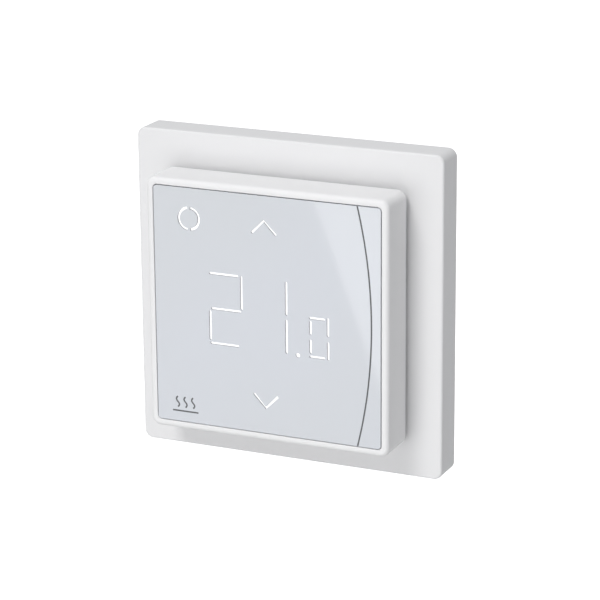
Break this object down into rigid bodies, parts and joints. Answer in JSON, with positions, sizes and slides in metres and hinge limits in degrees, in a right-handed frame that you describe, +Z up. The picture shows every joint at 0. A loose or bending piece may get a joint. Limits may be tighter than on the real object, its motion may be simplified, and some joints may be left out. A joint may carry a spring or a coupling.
{
  "type": "wall thermostat",
  "caption": "Flush wall thermostat for underfloor heating: a raised square touch display on a square frame, with a mains box behind that sits in a wall box.",
  "frame": {"origin": "centre of the wall box on the wall's surface, where the mounting plate's rear face lies", "axes": "+Z up the wall, +X to the right as seen from the room, -Y out into the room, so the display faces -Y"},
  "size_m": [0.0854, 0.0446, 0.0854],
  "materials": {
    "white_plastic": "smooth satin moulded plastic",
    "display_lens": "glossy clear-coated acrylic",
    "pale_plastic": "satin moulded plastic",
    "dark_plastic": "matt moulded plastic",
    "blue_plastic": "satin moulded plastic",
    "yellow_plastic": "satin moulded plastic",
    "foam_tape": "matt foam tape",
    "circuit_board": "solder-masked glass fibre board",
    "zinc_steel": "zinc-plated, dull",
    "brass": "tinned or bare brass",
    "copper": "enamelled copper wire or copper strip"
  },
  "bodies": {
    "base": {"mounting_plate": "zinc_steel", "rear_housing": "white_plastic", "base_cover": "pale_plastic", "base_screw_1": "zinc_steel", "base_screw_2": "zinc_steel", "base_screw_3": "zinc_steel", "base_screw_4": "zinc_steel", "power_board": "circuit_board", "header_pins": "brass", "terminal_block": "dark_plastic", "terminal_tab_1": "brass", "terminal_tab_2": "brass", "terminal_tab_3": "brass", "terminal_tab_4": "brass", "terminal_tab_5": "brass", "terminal_tab_6": "brass", "relay_base": "dark_plastic", "relay_case": "blue_plastic", "relay_coil": "copper", "relay_yoke": "zinc_steel", "relay_fixed_contact": "copper", "mains_capacitor": "yellow_plastic", "storage_capacitor": "dark_plastic", "varistor": "blue_plastic", "power_inductor": "dark_plastic", "fuse": "pale_plastic"},
    "design_frame": {"design_frame": "white_plastic"},
    "front_cover": {"front_housing": "white_plastic", "touch_lens": "display_lens", "lens_tape": "foam_tape", "light_mask": "dark_plastic", "digit_block_tens": "white_plastic", "digit_block_units": "white_plastic", "digit_block_tenths": "white_plastic", "display_board": "circuit_board", "touch_spring_mode": "zinc_steel", "touch_spring_up": "zinc_steel", "touch_spring_down": "zinc_steel", "room_sensor": "dark_plastic", "radio_module": "zinc_steel", "controller_chip": "dark_plastic", "backup_capacitor": "blue_plastic", "board_socket": "dark_plastic", "display_back_cover": "pale_plastic"},
    "release_latch": {"release_latch": "pale_plastic"},
    "relay_armature": {"relay_armature": "zinc_steel", "relay_contact_spring": "copper"},
    "terminal_screw_1": {"terminal_screw_1": "zinc_steel"},
    "terminal_cage_1": {"terminal_cage_1": "zinc_steel"},
    "terminal_screw_2": {"terminal_screw_2": "zinc_steel"},
    "terminal_cage_2": {"terminal_cage_2": "zinc_steel"},
    "terminal_screw_3": {"terminal_screw_3": "zinc_steel"},
    "terminal_cage_3": {"terminal_cage_3": "zinc_steel"},
    "terminal_screw_4": {"terminal_screw_4": "zinc_steel"},
    "terminal_cage_4": {"terminal_cage_4": "zinc_steel"},
    "terminal_screw_5": {"terminal_screw_5": "zinc_steel"},
    "terminal_cage_5": {"terminal_cage_5": "zinc_steel"},
    "terminal_screw_6": {"terminal_screw_6": "zinc_steel"},
    "terminal_cage_6": {"terminal_cage_6": "zinc_steel"}
  },
  "joints": [
    {"name": "front_cover_pull", "type": "slide", "parent": "base", "child": "front_cover", "axis": [0, -1, 0], "range_m": [0, 0.04]},
    {"name": "design_frame_lift", "type": "slide", "parent": "base", "child": "design_frame", "axis": [0, -1, 0], "range_m": [0, 0.02]},
    {"name": "release_latch_hinge", "type": "hinge", "parent": "front_cover", "child": "release_latch", "pos_m": [0, -0.0098, -0.015], "axis": [-1, 0, 0], "range_deg": [0, 8], "stiffness_Nm_per_rad": 0.02},
    {"name": "relay_armature_hinge", "type": "hinge", "parent": "base", "child": "relay_armature", "pos_m": [-0.0128, 0.0148, 0.0118], "axis": [0, 0, -1], "range_deg": [0, 4], "stiffness_Nm_per_rad": 0.01},
    {"name": "terminal_screw_1_turn", "type": "hinge", "parent": "base", "child": "terminal_screw_1", "pos_m": [-0.0165, 0.018, -0.0144], "axis": [0, -1, 0], "range_deg": [0, 2448]},
    {"name": "terminal_cage_1_slide", "type": "slide", "parent": "base", "child": "terminal_cage_1", "axis": [0, 1, 0], "range_m": [0, 0.0034]},
    {"name": "terminal_screw_2_turn", "type": "hinge", "parent": "base", "child": "terminal_screw_2", "pos_m": [-0.0099, 0.018, -0.0144], "axis": [0, -1, 0], "range_deg": [0, 2448]},
    {"name": "terminal_cage_2_slide", "type": "slide", "parent": "base", "child": "terminal_cage_2", "axis": [0, 1, 0], "range_m": [0, 0.0034]},
    {"name": "terminal_screw_3_turn", "type": "hinge", "parent": "base", "child": "terminal_screw_3", "pos_m": [-0.0033, 0.018, -0.0144], "axis": [0, -1, 0], "range_deg": [0, 2448]},
    {"name": "terminal_cage_3_slide", "type": "slide", "parent": "base", "child": "terminal_cage_3", "axis": [0, 1, 0], "range_m": [0, 0.0034]},
    {"name": "terminal_screw_4_turn", "type": "hinge", "parent": "base", "child": "terminal_screw_4", "pos_m": [0.0033, 0.018, -0.0144], "axis": [0, -1, 0], "range_deg": [0, 2448]},
    {"name": "terminal_cage_4_slide", "type": "slide", "parent": "base", "child": "terminal_cage_4", "axis": [0, 1, 0], "range_m": [0, 0.0034]},
    {"name": "terminal_screw_5_turn", "type": "hinge", "parent": "base", "child": "terminal_screw_5", "pos_m": [0.0099, 0.018, -0.0144], "axis": [0, -1, 0], "range_deg": [0, 2448]},
    {"name": "terminal_cage_5_slide", "type": "slide", "parent": "base", "child": "terminal_cage_5", "axis": [0, 1, 0], "range_m": [0, 0.0034]},
    {"name": "terminal_screw_6_turn", "type": "hinge", "parent": "base", "child": "terminal_screw_6", "pos_m": [0.0165, 0.018, -0.0144], "axis": [0, -1, 0], "range_deg": [0, 2448]},
    {"name": "terminal_cage_6_slide", "type": "slide", "parent": "base", "child": "terminal_cage_6", "axis": [0, 1, 0], "range_m": [0, 0.0034]}
  ],
  "couplings": [
    {"joint": "design_frame_lift", "follows": "front_cover_pull", "ratio": 0.5},
    {"joint": "terminal_screw_1_turn", "follows": "terminal_cage_1_slide", "rad_per_m": 12566},
    {"joint": "terminal_screw_2_turn", "follows": "terminal_cage_2_slide", "rad_per_m": 12566},
    {"joint": "terminal_screw_3_turn", "follows": "terminal_cage_3_slide", "rad_per_m": 12566},
    {"joint": "terminal_screw_4_turn", "follows": "terminal_cage_4_slide", "rad_per_m": 12566},
    {"joint": "terminal_screw_5_turn", "follows": "terminal_cage_5_slide", "rad_per_m": 12566},
    {"joint": "terminal_screw_6_turn", "follows": "terminal_cage_6_slide", "rad_per_m": 12566}
  ]
}
